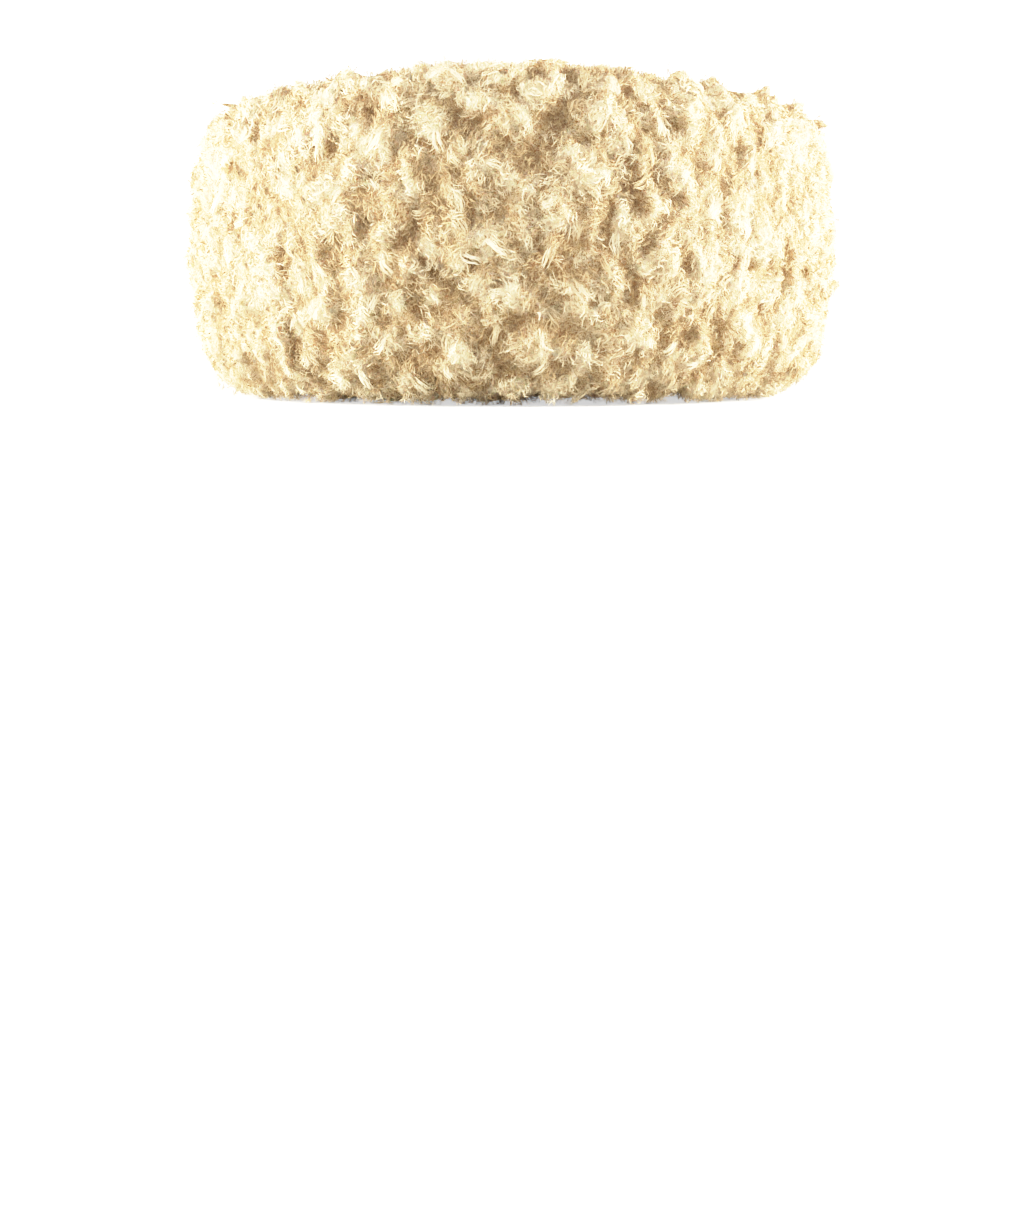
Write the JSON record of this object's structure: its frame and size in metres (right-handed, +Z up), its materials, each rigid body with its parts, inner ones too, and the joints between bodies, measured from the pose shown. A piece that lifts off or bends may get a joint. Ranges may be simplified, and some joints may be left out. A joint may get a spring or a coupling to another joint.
{
  "type": "pile hat",
  "caption": "Round winter hat with a domed crown and a deep turned-up cuff, covered in thick curly pile.",
  "frame": {"origin": "middle of the hat on the surface it rests on", "axes": "+Z up through the crown, +Y from the brow to the nape, +X across the head"},
  "size_m": [0.2471, 0.2832, 0.1141],
  "materials": {
    "cuff_pile": "cream curly wool pile, matte, pale at the curls' tips and tan between them",
    "crown_pile": "cream curly wool pile, matte, pale at the curls' tips and tan between them",
    "crown_backing": "napped beige skin side of the pile cloth, matte"
  },
  "bodies": {
    "root": {"cuff": "cuff_pile", "crown_wall": "crown_backing", "crown_tip": "crown_pile"}
  },
  "joints": []
}
